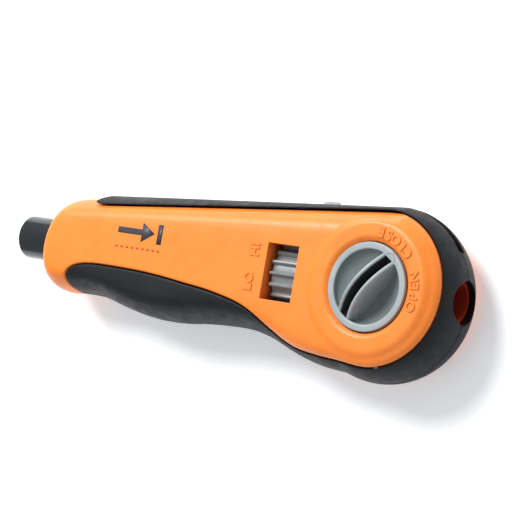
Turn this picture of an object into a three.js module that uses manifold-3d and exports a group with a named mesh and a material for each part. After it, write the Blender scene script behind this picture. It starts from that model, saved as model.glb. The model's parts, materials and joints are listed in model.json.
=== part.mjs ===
// Impact punch down tool: two moulded half shells with soft grips, a spring-driven hammer
// behind a twist-lock blade socket, an impact dial, a knob-gated blade store and a fold-out
// wire hook and spudger.
// Millimetres. Inside the tool group the origin is the knob's axis at the seam: +X runs from
// the nose to the rear end, +Y to the top edge, +Z out of the front face. The tool group is
// then lifted so that the part's own origin lies under the middle of its box.
import * as THREE from 'three';
import { mergeVertices } from 'three/addons/utils/BufferGeometryUtils.js';
import Module from 'manifold-3d';

const wasm = await Module();
wasm.setup();

// ---------- driving dimensions ----------

// envelope
const noseX = -120.7;
const edgeRadius = 14.2; // edge rounding of the whole body, seen along X
const faceZ = 11.2; // flat front and back faces
const seamGap = 0.1;
const rearCentre = new THREE.Vector2(0.6, -0.85);
const rearRadius = 24.1;
const bandRadius = 21.15; // where the bare face ends round the knob
const stripRise = 1.3; // the top grip strip stands proud of the hard shell
const topSlope = 0.0705;
const topLineAtKnob = 22.96; // height of the strip's crest above the knob's axis
const outlinePoints = 72;

// grips
const gripThickness = 1.4;
const gap = 0.3; // between a grip and the shell under it

// hollow inside the shells
const wallInset = 3.5;
const wallZ = 7.9;
const ribThickness = 1.8;
const ribPlaces = [-86, -66, -46, -10];
const pillarRadius = 2.9; // round each housing screw

// knob and its boss
const bossRadius = 17.5;
const bossFlank = 1.7;
const bossZ = 12;
const knobRadius = 12;
const knobRingInner = 10.1;
const knobTopZ = 11.9;
const bowlFloorZ = 8.2;
const bowlDepth = 3.5;
const knobUnderZ = 7;
const flangeRadius = 13.2;
const flangeZ = [7.6, 9.3];
const finTopZ = 16;
const finSpacing = 3.6;
const finThickness = 1.3;
const finHalfLength = 9.9;
const knobRest = THREE.MathUtils.degToRad(56); // the arrow's direction when the gate is closed
const gateRadii = [9.6, 11.2];
const gateHalfAngle = THREE.MathUtils.degToRad(29);
const gateBottomZ = -5.4;
const knobTurn = THREE.MathUtils.degToRad(60);
const notchRadius = 1.1; // click notches in the flange
const supportRadii = [12, 14.2];
const supportZ = 6.6;
const leafX = [-14.7, -14];
const leafHalf = 5.8;

// blade store
const storeRadius = 5;
const storeWall = 1.4;
const storeX = [-19.5, 24];
const storeMouthRadius = 5.85;
const lipX = 21.5;

// impact window and dial
const windowX = [-34, -23.7];
const windowY = [-7.6, 8];
const dialX = [-33.3, -24.4];
const dialRootRadius = 8.4;
const dialRibs = 18;
const dialTipRadius = 9.7;
const journalRadius = 4;
const journalEndX = -21.2;

// hammer mechanism, all round the X axis
const socketRadius = 6.6;
const socketX = [-131.1, -106];
const socketFlangeX = -109;
const socketFlangeRadius = 8.3;
const bladeBore = 4.2;
const bladeBoreEndX = -108;
const lugReach = 5.5; // radius of the slots that take the blade's lugs
const lugHalfWidth = 1.2;
const stemRadius = 3;
const stemEndX = -92.3; // the stem's tip, just short of the latch plate
const bushX = [-115.4, -109.3];
const bushRadius = 8.8;
const guideBore = 8.7;
const guideWall = 1.7;
const guideEndX = -36.6;
const plungerTravel = 10;
const hammerX = [-96, -72];
const hammerRadius = 8.3;
const hammerSpigot = 4.4;
const latchX = [-91.85, -89.15];
const latchHalfY = 5;
const latchBottomZ = -9.2;
const latchTopZ = 3.6;
const latchSlotZ = 7.5;
const latchTravel = 1.4;
const latchRatio = latchTravel / plungerTravel;
const lockX = -119.4; // where the lug slots meet the turning groove
const clipX = [-116.4, -115.4];
const clipRadii = [5.6, 6.4];
const seatX = [-41.2, -37.4];
const seatLugY = 9.6;
const seatTravel = 3.4;
const springRadius = 7;
const mainWire = 0.9; // radius
const screwCoreRadius = 3;

// hook and spudger
const foldPivot = new THREE.Vector2(11.5, 14.5);
const slotHalf = 1.5; // half the width of the pocket for the fold-out tools
const pocketWallHalf = 3.2;
const leafThickness = 1.15;
const leafLift = 0.15;
const leafHalfWidth = 2.2;
const leafNubX = [32, 37];
const leafRestAngle = 173.5;
const pinRadius = 1.5;
const pinHalfLength = 7;

// screws go in from the back
const screwRadius = 1;
const screwHeadRadius = 2.1;
const screwHeadHeight = 1.6;
const screwTipZ = 5.8;
const screwPlaces = [
  { x: -107, y: 10.6, headZ: -4.6 },
  { x: -110.5, y: -11.3, headZ: -4.6 },
  { x: -58, y: 13.2, headZ: -9 },
  { x: -17, y: -14.5, headZ: -9 },
  { x: 12, y: -14.6, headZ: -8.4 },
];

// ---------- from three.js geometry to solids and back ----------

function solidOf(geometry) {
  const bare = geometry.clone();
  bare.deleteAttribute('normal');
  bare.deleteAttribute('uv');
  const merged = mergeVertices(bare, 1e-4);
  const vertProperties = new Float32Array(merged.attributes.position.array);
  const triVerts = new Uint32Array(merged.index.array);
  const solid = new wasm.Manifold(new wasm.Mesh({ numProp: 3, vertProperties, triVerts }));
  if (solid.volume() > 0) {
    return solid;
  }
  for (let i = 0; i < triVerts.length; i += 3) {
    [triVerts[i], triVerts[i + 1]] = [triVerts[i + 1], triVerts[i]];
  }
  return new wasm.Manifold(new wasm.Mesh({ numProp: 3, vertProperties, triVerts }));
}

function geometryOf(solid) {
  const mesh = solid.getMesh();
  const geometry = new THREE.BufferGeometry();
  geometry.setAttribute('position', new THREE.BufferAttribute(mesh.vertProperties, mesh.numProp));
  geometry.setIndex(new THREE.BufferAttribute(mesh.triVerts, 1));
  geometry.computeVertexNormals();
  return geometry;
}

function joined(...solids) {
  return solids.reduce((sum, solid) => sum.add(solid));
}

function cut(solid, ...tools) {
  return tools.reduce((rest, tool) => rest.subtract(tool), solid);
}

// ---------- simple solids ----------

function block(x, y, z) {
  const geometry = new THREE.BoxGeometry(x[1] - x[0], y[1] - y[0], z[1] - z[0]);
  geometry.translate((x[0] + x[1]) / 2, (y[0] + y[1]) / 2, (z[0] + z[1]) / 2);
  return solidOf(geometry);
}

// a solid of revolution round X, from [x, radius] points that run round a closed profile
function turnedX(profile, segments = 24) {
  const points = profile.map(([x, radius]) => new THREE.Vector2(radius, x));
  const geometry = new THREE.LatheGeometry(points, segments);
  geometry.rotateZ(-Math.PI / 2);
  return solidOf(geometry);
}

function rodX(radius, x0, x1, segments = 24) {
  return turnedX([[x0, 0], [x0, radius], [x1, radius], [x1, 0]], segments);
}

function tubeX(outer, inner, x0, x1, segments = 24) {
  return turnedX([[x0, inner], [x0, outer], [x1, outer], [x1, inner], [x0, inner]], segments);
}

// a solid of revolution round Z, from [radius, z] points
function turnedZ(profile, segments = 36) {
  const points = profile.map(([radius, z]) => new THREE.Vector2(radius, z));
  const geometry = new THREE.LatheGeometry(points, segments);
  geometry.rotateX(Math.PI / 2);
  return solidOf(geometry);
}

function rodZ(radius, z0, z1, x = 0, y = 0, segments = 16) {
  return turnedZ([[0, z0], [radius, z0], [radius, z1], [0, z1]], segments).translate([x, y, 0]);
}

function prismZ(shape, z0, z1, curveSegments = 3) {
  const settings = { depth: z1 - z0, bevelEnabled: false, curveSegments };
  const geometry = new THREE.ExtrudeGeometry(shape, settings);
  geometry.translate(0, 0, z0);
  return solidOf(geometry);
}

function ringSector(inner, outer, fromAngle, toAngle) {
  const shape = new THREE.Shape();
  shape.absarc(0, 0, outer, fromAngle, toAngle, false);
  shape.absarc(0, 0, inner, toAngle, fromAngle, true);
  return shape;
}

// wire wound round X, closed at both ends by its own end faces
class Helix extends THREE.Curve {
  constructor(radius, length, turns) {
    super();
    Object.assign(this, { radius, length, turns });
  }

  getPoint(t, target = new THREE.Vector3()) {
    const angle = 2 * Math.PI * this.turns * t;
    const y = this.radius * Math.cos(angle);
    const z = this.radius * Math.sin(angle);
    return target.set(this.length * t, y, z);
  }
}

function coilX(x0, x1, radius, wire, turns) {
  const path = new Helix(radius, x1 - x0 - 2 * wire, turns);
  const section = new THREE.Shape();
  section.absarc(0, 0, wire, 0, 2 * Math.PI, false);
  const settings = { steps: 10 * turns, curveSegments: 3, extrudePath: path };
  const geometry = new THREE.ExtrudeGeometry(section, settings);
  geometry.translate(x0 + wire, 0, 0);
  return solidOf(geometry);
}

// ---------- the body's envelope ----------

function topLine(x) {
  return topLineAtKnob + topSlope * x;
}

// side outline at the seam; lift is how far the top edge stands above the hard shell's
function bodyOutline(lift) {
  const drop = stripRise - lift;
  const topEnd = 84.8 * (Math.PI / 180);
  const bellyEnd = -110 * (Math.PI / 180);
  const outline = new THREE.Shape();
  outline.moveTo(-104, topLine(-104) - drop);
  outline.lineTo(-2, topLine(-2) - drop);
  outline.lineTo(2.6, topLine(2.6) - drop);
  outline.absarc(rearCentre.x, rearCentre.y, rearRadius, topEnd - 0.06 * drop, bellyEnd, true);
  outline.splineThru([
    new THREE.Vector2(-15.7, -23),
    new THREE.Vector2(-24.2, -21.1),
    new THREE.Vector2(-33, -18),
    new THREE.Vector2(-41.4, -16.5),
    new THREE.Vector2(-50, -16.5),
    new THREE.Vector2(-58.5, -17.1),
    new THREE.Vector2(-67, -18.1),
    new THREE.Vector2(-76.6, -18.1),
    new THREE.Vector2(-86.1, -16.7),
    new THREE.Vector2(-96.1, -14.6),
    new THREE.Vector2(-105.4, -14.5),
    new THREE.Vector2(-111.2, -14.9),
    new THREE.Vector2(-115.6, -13.6),
    new THREE.Vector2(-119, -10),
    new THREE.Vector2(-120.6, -4.8),
    new THREE.Vector2(noseX, 0),
    new THREE.Vector2(-119.5, 5.4),
    new THREE.Vector2(-117, 9.8),
    new THREE.Vector2(-113.4, 12.7),
    new THREE.Vector2(-109.4, 13.8),
    new THREE.Vector2(-106, 14.3),
  ]);
  outline.closePath();
  const points = outline.getSpacedPoints(outlinePoints);
  points.pop();
  return points;
}

// every outline point moved inwards, square to the outline
function insetOutline(points, distance) {
  return points.map((point, i) => {
    const before = points[(i + points.length - 1) % points.length];
    const after = points[(i + 1) % points.length];
    const along = after.clone().sub(before).normalize();
    return new THREE.Vector2(point.x + along.y * distance, point.y - along.x * distance);
  });
}

// closed solid between clockwise rings that all have the same number of points; each end is a
// fan round a middle point that sees the whole ring
function lofted(rings, middle) {
  const count = rings[0].length;
  const last = rings.length - 1;
  const ends = [rings[0], rings[last]].map((ring) => new THREE.Vector3(middle.x, middle.y, ring[0].z));
  const vertices = [...rings.flat(), ...ends].flatMap((point) => [point.x, point.y, point.z]);
  const lowMiddle = count * rings.length;
  const faces = [];
  for (let i = 0; i < count; i += 1) {
    const next = (i + 1) % count;
    faces.push(lowMiddle, i, next);
    faces.push(lowMiddle + 1, last * count + next, last * count + i);
    for (let ring = 0; ring < last; ring += 1) {
      const a = ring * count + i;
      const b = ring * count + next;
      faces.push(a, a + count, b, b, a + count, b + count);
    }
  }
  const geometry = new THREE.BufferGeometry();
  geometry.setAttribute('position', new THREE.Float32BufferAttribute(vertices, 3));
  geometry.setIndex(faces);
  return solidOf(geometry);
}

// front half of the envelope, moved inwards by inset and flat at topZ
function halfBody(outline, inset, topZ, steps) {
  const radius = edgeRadius - inset;
  const topAngle = Math.asin(topZ / radius);
  const rings = [];
  for (let step = 0; step <= steps; step += 1) {
    const angle = (topAngle * step) / steps;
    const z = step === 0 ? seamGap / 2 : radius * Math.sin(angle);
    const ring = insetOutline(outline, edgeRadius - radius * Math.cos(angle));
    rings.push(ring.map((point) => new THREE.Vector3(point.x, point.y, z)));
  }
  return lofted(rings, new THREE.Vector2(-50, 0));
}

const hardOutline = bodyOutline(0);
const gripOutline = bodyOutline(stripRise);

// the part of the face that the grips leave bare, grown outwards by grow
function bareFace(grow) {
  const stripEdge = (x) => 21.2 + 0.0927 * x + grow;
  const shape = new THREE.Shape();
  shape.moveTo(-140, -40);
  shape.lineTo(-104 + grow, -40);
  shape.lineTo(-104 + grow, -16);
  shape.splineThru([
    new THREE.Vector2(-105.9 + grow, -13.6),
    new THREE.Vector2(-106.7 + grow, -10.8),
    new THREE.Vector2(-105.2 + grow, -8 - grow),
    new THREE.Vector2(-101.2, -6.1 - grow),
    new THREE.Vector2(-95.5, -5.4 - grow),
    new THREE.Vector2(-88.7, -5.2 - grow),
    new THREE.Vector2(-70.3, -5.8 - grow),
    new THREE.Vector2(-52.3, -7.6 - grow),
    new THREE.Vector2(-43.5, -9.1 - grow),
    new THREE.Vector2(-34.4, -12.6 - grow),
    new THREE.Vector2(-27.5, -17 - grow),
    new THREE.Vector2(-21.5, -19.4 - grow),
    new THREE.Vector2(-14, -20.2 - grow),
    new THREE.Vector2(-6.5, -20.5 - grow),
  ]);
  const bandSteps = 20;
  for (let step = 0; step <= bandSteps; step += 1) {
    const angle = THREE.MathUtils.lerp(-1.5, 1.58, step / bandSteps);
    shape.lineTo((bandRadius + grow) * Math.cos(angle), (bandRadius + grow) * Math.sin(angle));
  }
  shape.lineTo(-95.5, stripEdge(-95.5));
  shape.splineThru([
    new THREE.Vector2(-99.6 + grow, stripEdge(-99.6) + 0.2),
    new THREE.Vector2(-101.8 + grow, 13.2),
    new THREE.Vector2(-100.4 + grow, 15.2),
  ]);
  shape.lineTo(-100.4 + grow, 40);
  shape.lineTo(-140, 40);
  shape.closePath();
  return prismZ(shape, -20, 20, 2);
}

// ---------- cuts that shells and grips share ----------

// pocket for the folded hook and spudger, open along the top edge and at the rear corner
function foldPocket() {
  const shape = new THREE.Shape();
  shape.moveTo(-29.5, 12.6);
  shape.lineTo(foldPivot.x - 4, foldPivot.y - 4.2);
  shape.lineTo(foldPivot.x + 1, foldPivot.y - 4.2);
  shape.lineTo(21.2, 13.2);
  shape.lineTo(40, 16.2);
  shape.lineTo(40, 34);
  shape.lineTo(-29.5, 34);
  shape.closePath();
  return prismZ(shape, -slotHalf, slotHalf);
}

function windowCut() {
  return block(windowX, windowY, [-20, 20]);
}

// the soft lip that lines the mouth of the blade store, and the room the shell leaves for it
function mouthLip(grow) {
  return rodX(storeMouthRadius + 1.4 + grow, lipX - grow, 40);
}

function mirrored(solid) {
  return solid.mirror([0, 0, 1]);
}

// ---------- hard shells ----------

// what is bored out along the X axis for the socket, hammer, springs, dial and spare blade
function bores() {
  return joined(
    rodX(socketRadius + 0.6, noseX - 5, bushX[0]),
    rodX(bushRadius + 0.15, bushX[0] - 0.3, bushX[1] + 0.2),
    rodX(guideBore, bushX[1], guideEndX),
    rodX(screwCoreRadius + 0.5, guideEndX - 1, dialX[0]),
    rodX(dialTipRadius + 0.6, dialX[0] - 0.5, dialX[1] + 0.9),
    rodX(journalRadius + 0.3, dialX[1], journalEndX + 0.3),
    rodX(storeRadius, storeX[0], 40),
    block([seatX[0] - seatTravel - 1, guideEndX], [-seatLugY - 0.3, seatLugY + 0.3], [-1.7, 1.7]),
  );
}

// everything that stands inside the hollow, before it is trimmed to the envelope
function innards() {
  const nose = block([-130, -107], [-30, 30], [-12, 12]);
  const guide = rodX(guideBore + guideWall, -110, guideEndX + 2);
  const dialWalls = block([guideEndX, dialX[0]], [-30, 30], [-12, 12]);
  const thrustWall = block([dialX[1], storeX[0]], [-30, 30], [-12, 12]);
  const ribs = ribPlaces.map((x) => block([x, x + ribThickness], [-30, 30], [-12, 12]));
  const storeTube = rodX(storeRadius + storeWall, storeX[0] - 1, 24);
  const pivotBoss = rodZ(3.6, -12, 12, foldPivot.x, foldPivot.y);
  const pillars = screwPlaces.map(({ x, y }) => rodZ(pillarRadius, -12, 12, x, y, 16));
  const walls = [nose, dialWalls, thrustWall, ...ribs, pocketWalls()];
  return joined(guide, storeTube, pivotBoss, ...walls, ...pillars);
}

// walls on each side of the fold-out tools
function pocketWalls() {
  const shape = new THREE.Shape();
  shape.moveTo(-31, 11);
  shape.lineTo(foldPivot.x - 4.5, foldPivot.y - 5.8);
  shape.lineTo(foldPivot.x + 3, foldPivot.y - 5.8);
  shape.lineTo(26, 12);
  shape.lineTo(26, 34);
  shape.lineTo(-31, 34);
  shape.closePath();
  return prismZ(shape, -pocketWallHalf, pocketWallHalf);
}

// the gate skirt's sweep from closed to open, with room round it
function gateSweep() {
  const margin = THREE.MathUtils.degToRad(2.2);
  const from = -gateHalfAngle - knobTurn - margin;
  const shape = ringSector(gateRadii[0] - 0.4, gateRadii[1] + 0.4, from, gateHalfAngle + margin);
  return prismZ(shape, gateBottomZ - 0.4, flangeZ[0], 5);
}

// front half of the hard body: bare face and sunken core, hollow, with its ribs and bores
function hardHalf() {
  const skin = halfBody(hardOutline, 0, faceZ, 3).intersect(bareFace(0));
  const core = halfBody(hardOutline, gripThickness + gap, faceZ - gripThickness - gap, 2);
  const room = block([-107, 40], [-40, 40], [-1, 12]);
  const coarse = hardOutline.filter((point, i) => i % 2 === 0);
  const hollow = halfBody(coarse, wallInset, wallZ, 2).intersect(room);
  const shell = cut(joined(skin, core), hollow);
  return cut(joined(shell, innards().intersect(core)), bores(), foldPocket(), windowCut(), mouthLip(gap));
}

function boss() {
  return turnedZ([
    [0, 9],
    [bossRadius + bossFlank, 9],
    [bossRadius + bossFlank, faceZ - 0.05],
    [bossRadius + 0.5, faceZ + 0.6],
    [bossRadius - 0.4, bossZ],
    [0, bossZ],
  ]);
}

// the knob's hole in the boss, its flange's room under it, and the detent leaf's pocket
function knobSeat() {
  const rimRoom = knobRadius + 0.35;
  const chamfer = turnedZ([[0, 10.9], [rimRoom, 10.9], [rimRoom + 1.2, bossZ + 0.2], [0, bossZ + 0.2]]);
  return joined(
    chamfer,
    rodZ(rimRoom, flangeZ[0], bossZ + 1, 0, 0, 36),
    rodZ(flangeRadius + 0.4, 0, flangeZ[1] + 0.3, 0, 0, 36),
    rodZ(supportRadii[1] + 0.4, 0, supportZ + 0.3, 0, 0, 36),
    block([leafX[0] - 0.4, -12], [-leafHalf - 0.4, leafHalf + 0.4], [supportZ, flangeZ[1] + 0.3]),
  );
}

function pinHole() {
  const reach = pinHalfLength + gap;
  return rodZ(pinRadius + 0.15, -reach, reach, foldPivot.x, foldPivot.y);
}

function frontShell() {
  const reach = supportRadii[1] + 1.4;
  const sides = block([-reach, reach], [-8, 8], [seamGap / 2, 8]);
  const storeBridge = tubeX(storeRadius + storeWall, storeRadius, -reach, reach).intersect(sides);
  const body = cut(joined(hardHalf(), boss()), knobSeat());
  const screwCores = screwPlaces.map(({ x, y }) => rodZ(screwRadius + 0.2, -1, screwTipZ + 0.4, x, y, 12));
  return cut(joined(body, storeBridge), gateSweep(), pinHole(), ...screwCores);
}

// ring on the rear shell that holds the knob's washer up against its flange
function knobSupport() {
  const [inner, outer] = supportRadii;
  const ring = turnedZ([[inner, -9], [outer, -9], [outer, supportZ], [inner, supportZ], [inner, -9]]);
  const tubeRoom = storeRadius + storeWall + 0.4;
  return cut(ring, foldPocket(), block([-30, 30], [-tubeRoom, tubeRoom], [-seamGap / 2, 12]));
}

// sloping floor that lifts the latch plate as the hammer is drawn back
function latchRamp() {
  const floorZ = (x) => latchBottomZ - 0.35 + latchRatio * (x - latchX[1]);
  const shape = new THREE.Shape();
  shape.moveTo(latchX[0] - 2.5, 0);
  shape.lineTo(latchX[0] - 2.5, floorZ(latchX[0]));
  shape.lineTo(latchX[1] + plungerTravel + 1, floorZ(latchX[1] + plungerTravel + 1));
  shape.lineTo(latchX[1] + plungerTravel + 1, 0);
  shape.closePath();
  const geometry = new THREE.ExtrudeGeometry(shape, { depth: 2 * latchHalfY + 0.8, bevelEnabled: false });
  geometry.rotateX(Math.PI / 2);
  geometry.translate(0, latchHalfY + 0.4, 0);
  return solidOf(geometry);
}

function rearShell() {
  const screwHoles = screwPlaces.flatMap(({ x, y, headZ }) => [
    rodZ(screwRadius + 0.35, -12, 0, x, y, 12),
    rodZ(screwHeadRadius + 0.35, -20, headZ + screwHeadHeight + 0.1, x, y, 16),
  ]);
  const body = joined(mirrored(hardHalf()), cut(knobSupport(), rodX(storeRadius, -20, 20)));
  return cut(body, gateSweep(), latchRamp(), pinHole(), ...screwHoles);
}

// ---------- soft grips ----------

function gripHalf() {
  const outer = halfBody(gripOutline, 0, faceZ, 3);
  const inner = halfBody(hardOutline, gripThickness, faceZ - gripThickness, 2);
  const lip = mouthLip(0).intersect(outer);
  return cut(joined(cut(outer, inner, bareFace(gap)), lip), rodX(storeMouthRadius, 0, 40), foldPocket());
}

// ---------- plunger and hammer ----------

function bladeSocket() {
  const body = turnedX([
    [bladeBoreEndX, 0],
    [bladeBoreEndX, bladeBore],
    [socketX[0] + 0.6, bladeBore],
    [socketX[0], bladeBore + 0.6],
    [socketX[0], socketRadius - 0.8],
    [socketX[0] + 0.8, socketRadius],
    [socketFlangeX, socketRadius],
    [socketFlangeX, socketFlangeRadius],
    [socketX[1], socketFlangeRadius],
    [socketX[1], stemRadius],
    [stemEndX, stemRadius],
    [stemEndX, 0],
  ]);
  const lugSlots = block([socketX[0] - 1, lockX], [-lugHalfWidth, lugHalfWidth], [-lugReach, lugReach]);
  const lockGroove = rodX(lugReach, lockX - 1.6, lockX + 1);
  const ringGroove = tubeX(socketRadius + 1, clipRadii[0] - 0.2, clipX[0] - 0.2, clipX[1] + 0.2);
  const nibHole = rodZ(1.1, 0, 8, (clipX[0] + clipX[1]) / 2, 0, 12);
  return cut(body, lugSlots, lockGroove, ringGroove, nibHole);
}

// open spring ring whose nib presses on the blade's shank
function bladeClip() {
  const ring = tubeX(clipRadii[1], clipRadii[0], clipX[0], clipX[1]);
  const nib = rodZ(0.7, bladeBore - 0.5, clipRadii[1] - 0.1, (clipX[0] + clipX[1]) / 2, 0, 12);
  return joined(cut(ring, block([clipX[0] - 1, clipX[1] + 1], [-2.4, 2.4], [-9, 0])), nib);
}

function noseBush() {
  return tubeX(bushRadius, socketRadius + 0.15, bushX[0], bushX[1]);
}

function hammer() {
  const body = turnedX([
    [hammerX[0], 0],
    [hammerX[0], hammerRadius - 0.6],
    [hammerX[0] + 0.6, hammerRadius],
    [hammerX[1], hammerRadius],
    [hammerX[1], hammerSpigot],
    [hammerX[1] + 5, hammerSpigot],
    [hammerX[1] + 5, 0],
  ]);
  const stemBore = rodX(stemRadius + 0.4, hammerX[0] - 1, hammerX[0] + 18);
  const slotY = latchHalfY + 0.4;
  const latchSlot = block([latchX[0] - 0.3, latchX[1] + 0.3], [-slotY, slotY], [-9, latchSlotZ]);
  return cut(body, stemBore, latchSlot);
}

function latchPlate() {
  const plate = block(latchX, [-latchHalfY, latchHalfY], [latchBottomZ, latchTopZ]);
  const hole = rodX(stemRadius + 0.4, latchX[0] - 1, latchX[1] + 1).translate([0, 0, -latchTravel]);
  return cut(plate, hole);
}

// small upright coil that presses the latch plate down
function latchSpring() {
  const coil = coilX(latchTopZ + 0.2, latchSlotZ - 0.1, 1, 0.25, 3);
  return coil.rotate([0, -90, 0]).translate([(latchX[0] + latchX[1]) / 2, 0, 0]);
}

function springSeat() {
  const disc = rodX(8.4, seatX[0], seatX[1]);
  const spigot = rodX(5.4, seatX[0] - 3.5, seatX[0]);
  const lugs = block(seatX, [-seatLugY, seatLugY], [-1.4, 1.4]);
  return cut(joined(disc, spigot, lugs), rodX(screwCoreRadius + 0.25, seatX[0] - 5, seatX[1] + 1));
}

// ---------- impact dial ----------

function impactDial() {
  const wheel = turnedX([
    [dialX[0] - 12, 0],
    [dialX[0] - 12, screwCoreRadius],
    [dialX[0], screwCoreRadius],
    [dialX[0], dialRootRadius],
    [dialX[1], dialRootRadius],
    [dialX[1], journalRadius],
    [journalEndX, journalRadius],
    [journalEndX, 0],
  ], 36);
  const rib = block([dialX[0] + 0.2, dialX[1] - 1], [-0.55, 0.55], [dialRootRadius - 1, dialTipRadius]);
  const ribs = Array.from({ length: dialRibs }, (unused, i) => rib.rotate([(360 / dialRibs) * i, 0, 0]));
  return joined(wheel, ...ribs);
}

function thrustWasher() {
  return tubeX(7.8, journalRadius + 0.3, dialX[1] + 0.15, dialX[1] + 0.7);
}

// ---------- storage knob ----------

function finShape() {
  const shape = new THREE.Shape();
  shape.moveTo(-finHalfLength, bowlFloorZ - 0.6);
  shape.lineTo(finHalfLength, bowlFloorZ - 0.6);
  shape.lineTo(finHalfLength, knobTopZ);
  shape.splineThru([
    new THREE.Vector2(finHalfLength / 2, finTopZ - 1.1),
    new THREE.Vector2(0, finTopZ),
    new THREE.Vector2(-finHalfLength / 2, finTopZ - 1.1),
    new THREE.Vector2(-finHalfLength, knobTopZ),
  ]);
  shape.closePath();
  return shape;
}

function knobFin(offset) {
  const settings = { depth: finThickness, bevelEnabled: false, curveSegments: 3 };
  const geometry = new THREE.ExtrudeGeometry(finShape(), settings);
  geometry.rotateX(Math.PI / 2);
  geometry.translate(0, offset + finThickness / 2, 0);
  geometry.rotateZ(knobRest);
  return solidOf(geometry);
}

function knobArrow() {
  const shape = new THREE.Shape();
  shape.moveTo(10.6, -1.9);
  shape.lineTo(knobRadius - 0.1, 0);
  shape.lineTo(10.6, 1.9);
  shape.closePath();
  return prismZ(shape, knobTopZ - 0.3, knobTopZ + 0.3).rotate([0, 0, THREE.MathUtils.radToDeg(knobRest)]);
}

function storageKnob() {
  const bowlSteps = 4;
  const bowl = Array.from({ length: bowlSteps + 1 }, (unused, i) => {
    const angle = (Math.PI / 2) * (1 - i / bowlSteps);
    return [knobRingInner * Math.sin(angle), bowlFloorZ + bowlDepth * (1 - Math.cos(angle))];
  });
  const dish = turnedZ([
    [0, knobUnderZ],
    [gateRadii[1], knobUnderZ],
    [gateRadii[1], flangeZ[0]],
    [flangeRadius, flangeZ[0]],
    [flangeRadius, flangeZ[1]],
    [knobRadius, flangeZ[1]],
    [knobRadius, knobTopZ - 0.3],
    [knobRadius - 0.3, knobTopZ],
    [knobRingInner + 0.2, knobTopZ],
    ...bowl,
  ]);
  const gateShape = ringSector(gateRadii[0], gateRadii[1], -gateHalfAngle, gateHalfAngle);
  const gate = prismZ(gateShape, gateBottomZ, knobUnderZ + 0.5, 4);
  const notches = [Math.PI, Math.PI + knobTurn].map((angle) => {
    const x = flangeRadius * Math.cos(angle);
    const y = flangeRadius * Math.sin(angle);
    return rodZ(notchRadius, flangeZ[0] - 0.2, flangeZ[1] + 0.1, x, y, 12);
  });
  const fins = [knobFin(-finSpacing / 2), knobFin(finSpacing / 2)];
  return cut(joined(dish, gate, ...fins, knobArrow()), ...notches);
}

function knobWasher() {
  const z = [supportZ + 0.15, flangeZ[0] - 0.25];
  const inner = gateRadii[1] + 0.5;
  return turnedZ([[inner, z[0]], [flangeRadius, z[0]], [flangeRadius, z[1]], [inner, z[1]], [inner, z[0]]]);
}

// upright leaf whose nib clicks into the notches of the knob's flange
function detentLeaf() {
  const z = [supportZ + 0.4, flangeZ[1] - 0.2];
  return joined(block(leafX, [-leafHalf, leafHalf], z), rodZ(0.65, z[0], z[1], leafX[1], 0, 12));
}

// ---------- fold-out hook and spudger ----------

// flat leaf along +X from its pivot, with a nail nub near its end; tip closes the outline
function foldLeaf(tip) {
  const shape = new THREE.Shape();
  shape.absarc(0, 0, 3.2, 0.75, 2 * Math.PI - 0.75, false);
  shape.lineTo(leafNubX[0], -leafHalfWidth);
  shape.lineTo(leafNubX[0] + 1.4, -leafHalfWidth - 1.9);
  shape.lineTo(leafNubX[1], -leafHalfWidth - 1.2);
  shape.lineTo(leafNubX[1], -leafHalfWidth);
  tip(shape);
  shape.closePath();
  return cut(prismZ(shape, 0, leafThickness, 8), rodZ(pinRadius + 0.15, -1, 2));
}

function folded(leaf, z) {
  return leaf.rotate([0, 0, leafRestAngle]).translate([foldPivot.x, foldPivot.y, z]);
}

function wireHook() {
  const leaf = foldLeaf((shape) => {
    shape.lineTo(38.6, -0.6);
    shape.lineTo(38.2, leafHalfWidth);
    shape.lineTo(36.6, leafHalfWidth);
    shape.absarc(35, 0.9, 1.3, 0.2, Math.PI, true);
    shape.lineTo(33.4, leafHalfWidth);
  });
  return folded(leaf, leafLift);
}

function spudger() {
  const leaf = foldLeaf((shape) => {
    shape.lineTo(38.8, -1.2);
    shape.lineTo(38.1, 0);
    shape.lineTo(38.8, 1.2);
    shape.lineTo(34, leafHalfWidth);
  });
  return folded(leaf, -leafLift - leafThickness);
}

function foldPin() {
  return rodZ(pinRadius, -pinHalfLength, pinHalfLength, foldPivot.x, foldPivot.y);
}

// ---------- screws ----------

function housingScrew({ x, y, headZ }) {
  const head = turnedZ([
    [0, headZ],
    [screwHeadRadius - 0.5, headZ],
    [screwHeadRadius, headZ + 0.6],
    [screwHeadRadius, headZ + screwHeadHeight],
    [screwRadius, headZ + screwHeadHeight],
    [screwRadius, screwTipZ],
    [0, screwTipZ],
  ], 12);
  const slots = [[1.5, 0.3], [0.3, 1.5]].map(([a, b]) => block([-a, a], [-b, b], [headZ - 1, headZ + 0.9]));
  return cut(head, ...slots).translate([x, y, 0]);
}

// ---------- assembly ----------

const orange = { color: 0xf58a2e, roughness: 0.45, metalness: 0 };
const rubber = { color: 0x2e3235, roughness: 0.8, metalness: 0 };
const grey = { color: 0xa6b2b4, roughness: 0.5, metalness: 0 };
const darkPlastic = { color: 0x3a3f42, roughness: 0.35, metalness: 0 };
const steel = { color: 0xb9bcc0, roughness: 0.3, metalness: 1 };
const brass = { color: 0xc9a561, roughness: 0.35, metalness: 1 };

const tool = new THREE.Group();

function addPart(name, solid, finish) {
  const mesh = new THREE.Mesh(geometryOf(solid), new THREE.MeshStandardMaterial(finish));
  mesh.name = name;
  tool.add(mesh);
}

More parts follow.
